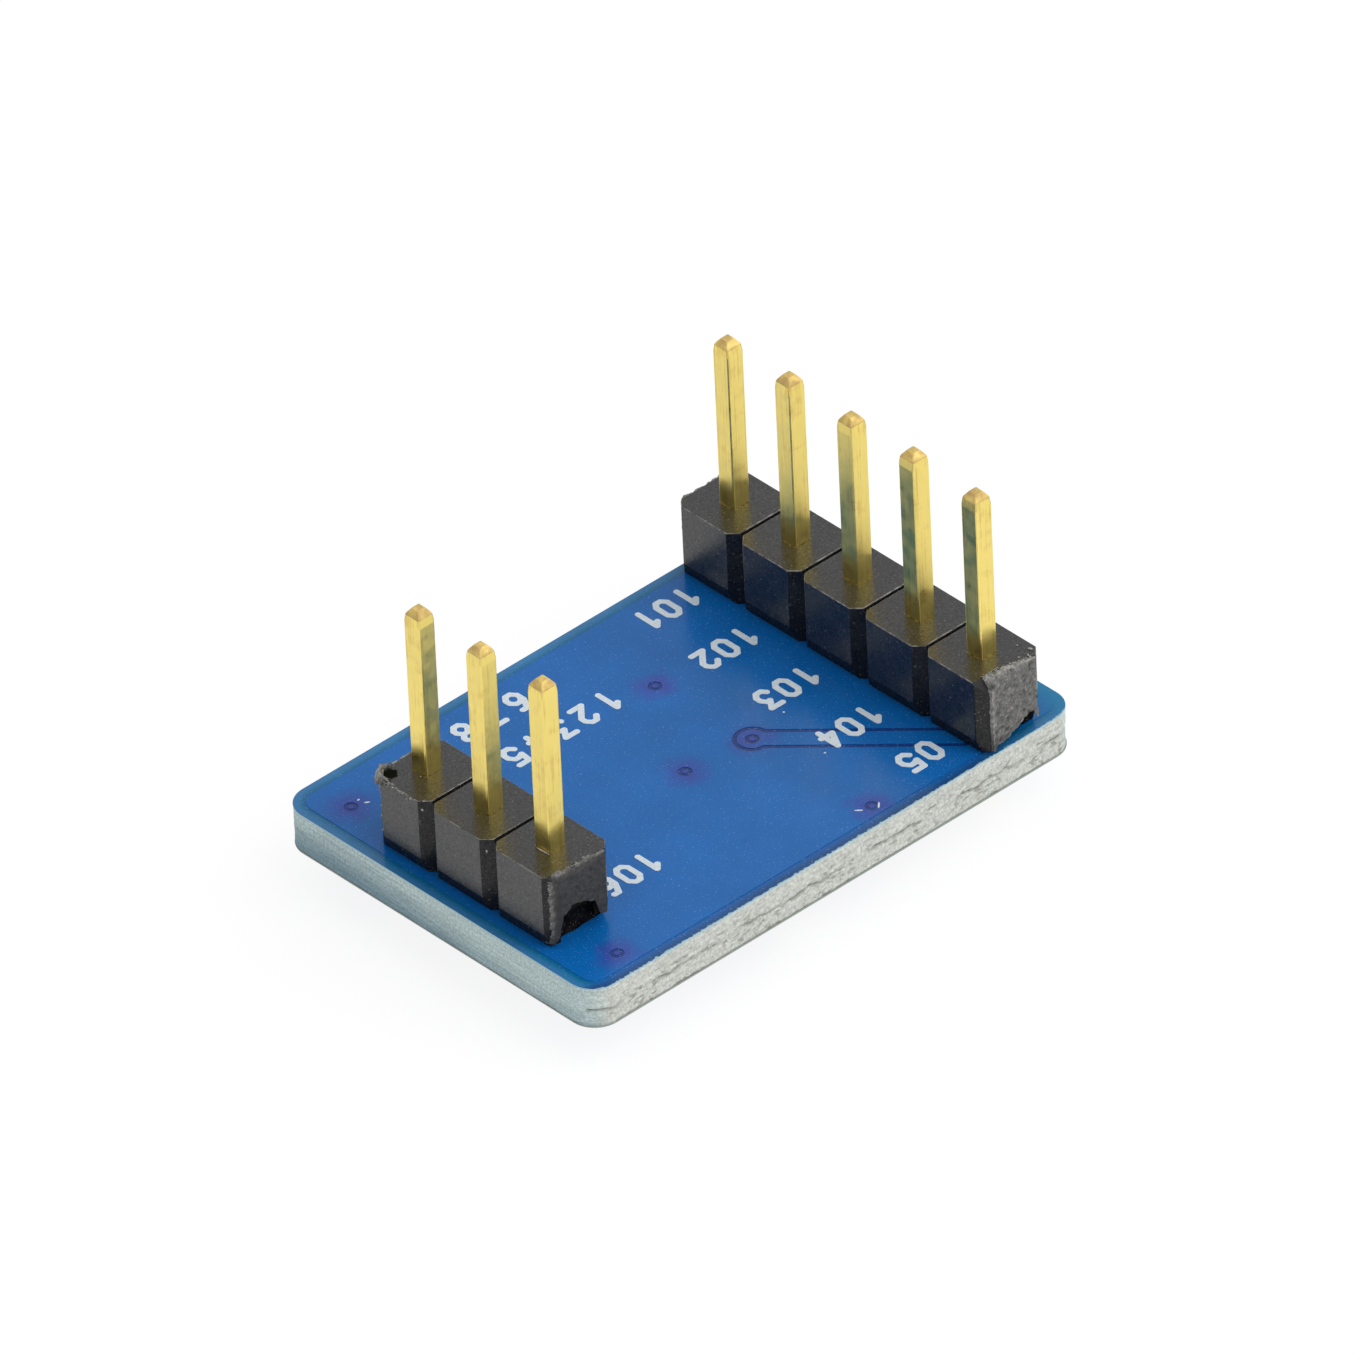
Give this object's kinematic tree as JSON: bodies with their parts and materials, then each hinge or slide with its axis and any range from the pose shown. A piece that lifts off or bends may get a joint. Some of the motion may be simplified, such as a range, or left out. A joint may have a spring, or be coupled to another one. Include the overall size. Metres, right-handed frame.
{
  "type": "serial interface converter module",
  "caption": "Small two-sided converter board with upright square-post headers near both ends of one face and surface-mounted parts on the other.",
  "frame": {"origin": "under the middle of the board, level with the face of the transceiver", "axes": "+X along the board from the short header to the long header, +Y along the header rows, +Z out of the face that carries the headers"},
  "size_m": [0.0188, 0.013, 0.0111],
  "materials": {
    "laminate": "routed glass-epoxy laminate",
    "foil": "rolled and plated copper",
    "solder_mask": "glossy blue solder mask",
    "insulator": "satin black moulded plastic",
    "gold_post": "thin gold plating over brass",
    "solder": "bright wetted solder",
    "package": "matt black moulding compound",
    "tinned_metal": "matt tin plating",
    "alumina": "white fired alumina",
    "resistor_coat": "black overglaze",
    "capacitor_ceramic": "tan fired ceramic",
    "lamp_substrate": "white moulded substrate",
    "lamp_lens": "clear cast resin",
    "lamp_metal": "gold plating"
  },
  "bodies": {
    "root": {"board_core": "laminate", "pin_side_foil": "foil", "part_side_foil": "foil", "pin_side_mask": "solder_mask", "part_side_mask": "solder_mask", "hole_barrels": "foil", "via_barrels": "foil", "header_5_body": "insulator", "header_5_post_1": "gold_post", "header_5_post_2": "gold_post", "header_5_post_3": "gold_post", "header_5_post_4": "gold_post", "header_5_post_5": "gold_post", "header_5_solder": "solder", "header_3_body": "insulator", "header_3_post_1": "gold_post", "header_3_post_2": "gold_post", "header_3_post_3": "gold_post", "header_3_solder": "solder", "transceiver_body": "package", "transceiver_leads": "tinned_metal", "surge_protector_body": "package", "surge_protector_leads": "tinned_metal", "termination_resistor": "alumina", "bias_resistor_high": "alumina", "bias_resistor_low": "alumina", "enable_resistor": "alumina", "transmit_resistor": "alumina", "receive_resistor": "alumina", "lamp_resistor": "alumina", "resistor_coats": "resistor_coat", "resistor_end_caps": "tinned_metal", "bypass_capacitor": "capacitor_ceramic", "reservoir_capacitor": "capacitor_ceramic", "capacitor_end_caps": "tinned_metal", "power_lamp_base": "lamp_substrate", "power_lamp_lens": "lamp_lens", "power_lamp_end_caps": "lamp_metal", "chip_part_solder": "solder", "lead_solder": "solder"}
  },
  "joints": []
}
